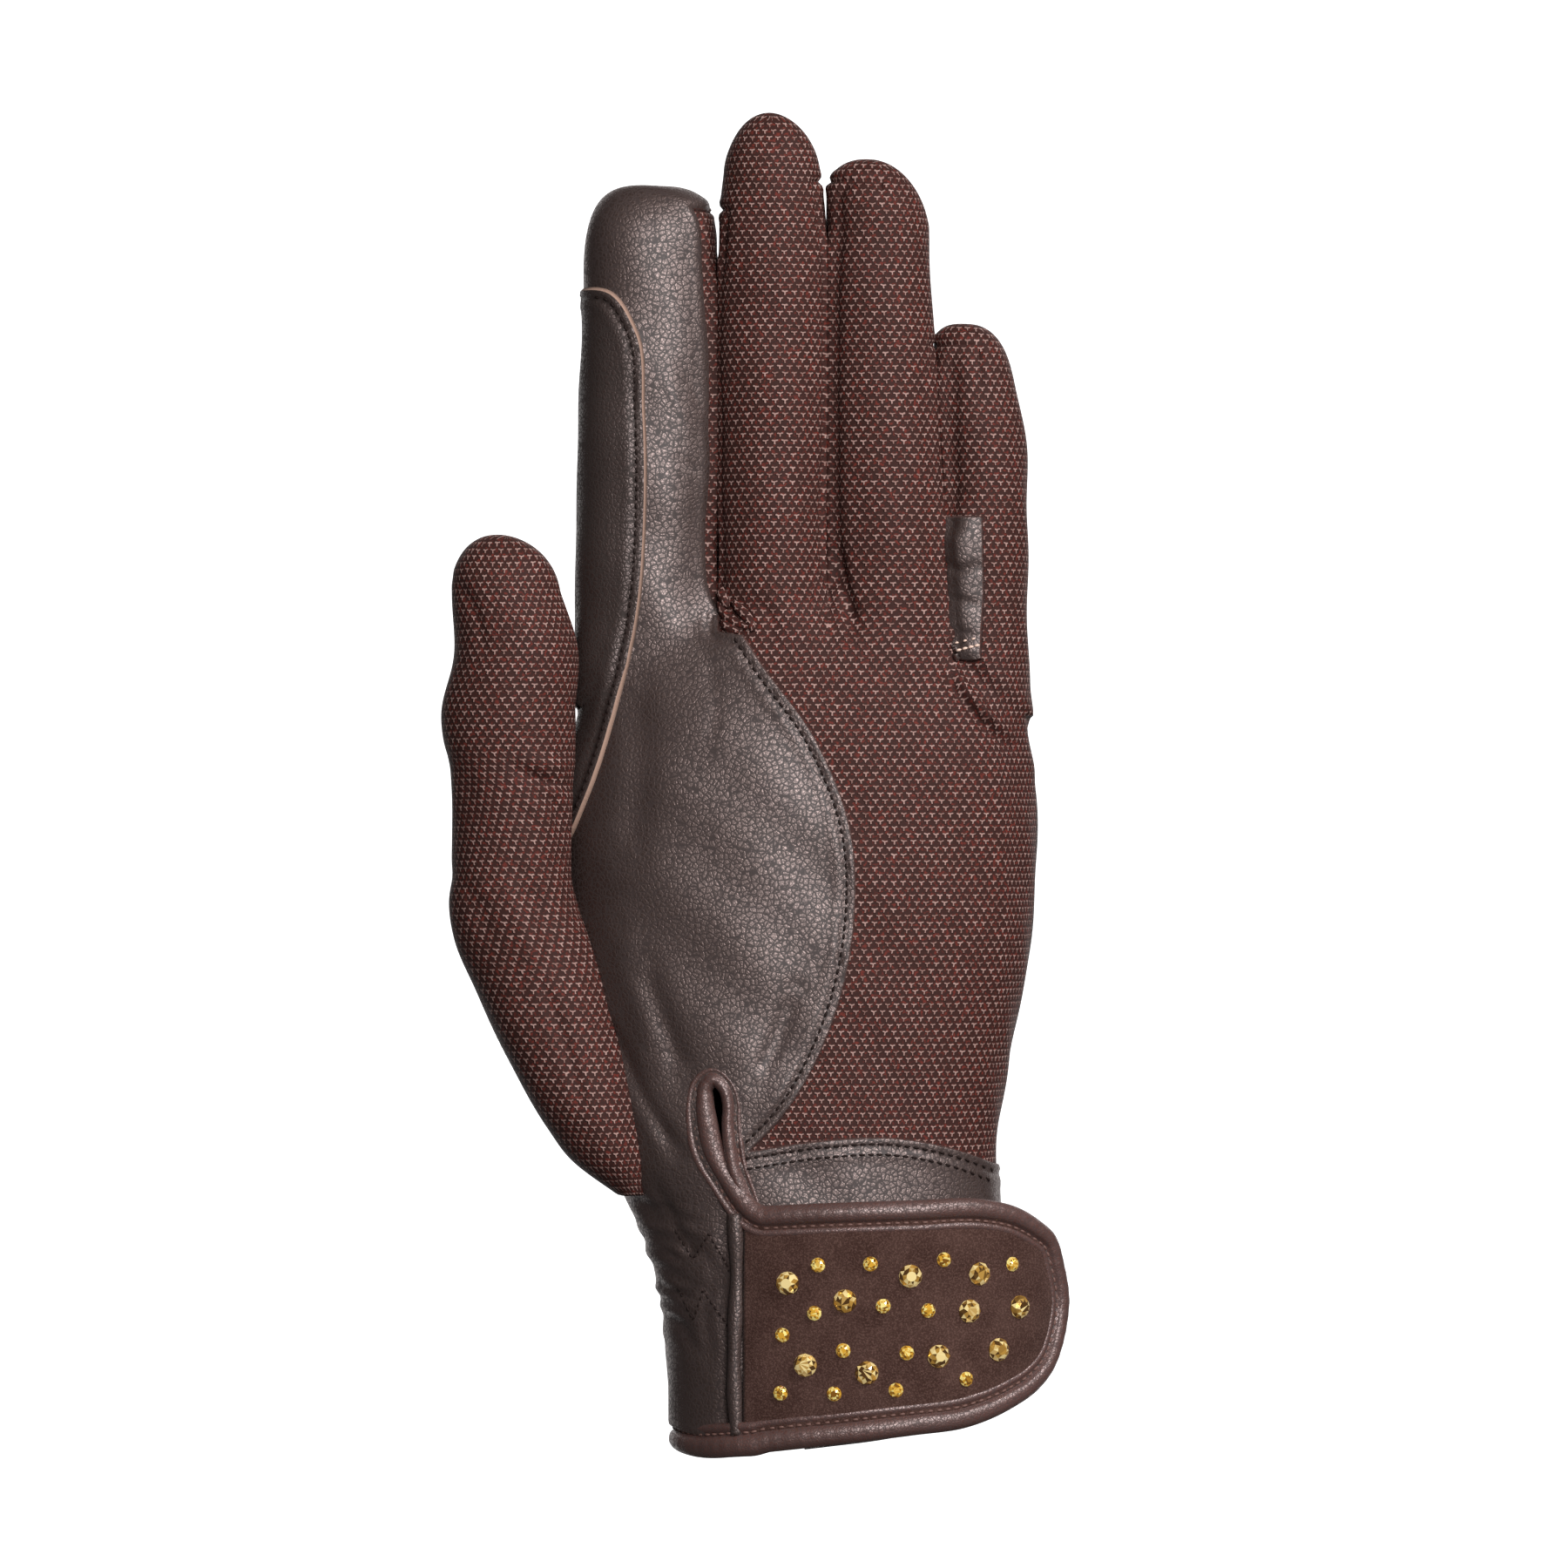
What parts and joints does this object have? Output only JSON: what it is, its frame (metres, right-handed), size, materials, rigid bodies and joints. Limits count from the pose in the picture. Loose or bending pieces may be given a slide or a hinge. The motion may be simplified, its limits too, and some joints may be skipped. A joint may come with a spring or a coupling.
{
  "type": "horse riding glove",
  "caption": "Right-hand riding glove with leather back and palm, knitted mesh inserts, a vent with rolled edging, and a suede wrist strap scattered with faceted stones.",
  "frame": {"origin": "centre of the wrist hollow, level with the closed strap", "axes": "+Z to the fingertips, -Y the back of the hand, -X the thumb"},
  "size_m": [0.1111, 0.0426, 0.2374],
  "materials": {
    "leather": "smooth, satin",
    "dark_leather": "smooth, satin",
    "knit": "knitted mesh",
    "edging": "rolled, satin",
    "suede": "brushed",
    "pad": "brushed",
    "stone": "cut and polished"
  },
  "bodies": {
    "root": {"palm_leather": "dark_leather", "back_leather": "leather", "wrist_band": "leather", "back_mesh": "knit", "fourchette_index_middle": "knit", "fourchette_middle_ring": "knit", "fourchette_ring_little": "knit", "index_side_patch": "dark_leather", "little_finger_patch": "leather", "thumb_mesh": "knit", "thumb_leather": "dark_leather", "edge_binding": "edging", "hem_binding": "edging", "strap_panel": "suede", "hook_pad": "pad", "stone_large_01": "stone", "stone_large_02": "stone", "stone_large_03": "stone", "stone_large_04": "stone", "stone_large_05": "stone", "stone_large_06": "stone", "stone_large_07": "stone", "stone_large_08": "stone", "stone_large_09": "stone", "stone_large_10": "stone", "stone_small_01": "stone", "stone_small_02": "stone", "stone_small_03": "stone", "stone_small_04": "stone", "stone_small_05": "stone", "stone_small_06": "stone", "stone_small_07": "stone", "stone_small_08": "stone", "stone_small_09": "stone", "stone_small_10": "stone", "stone_small_11": "stone", "stone_small_12": "stone", "stone_small_13": "stone", "stone_small_14": "stone"}
  },
  "joints": []
}
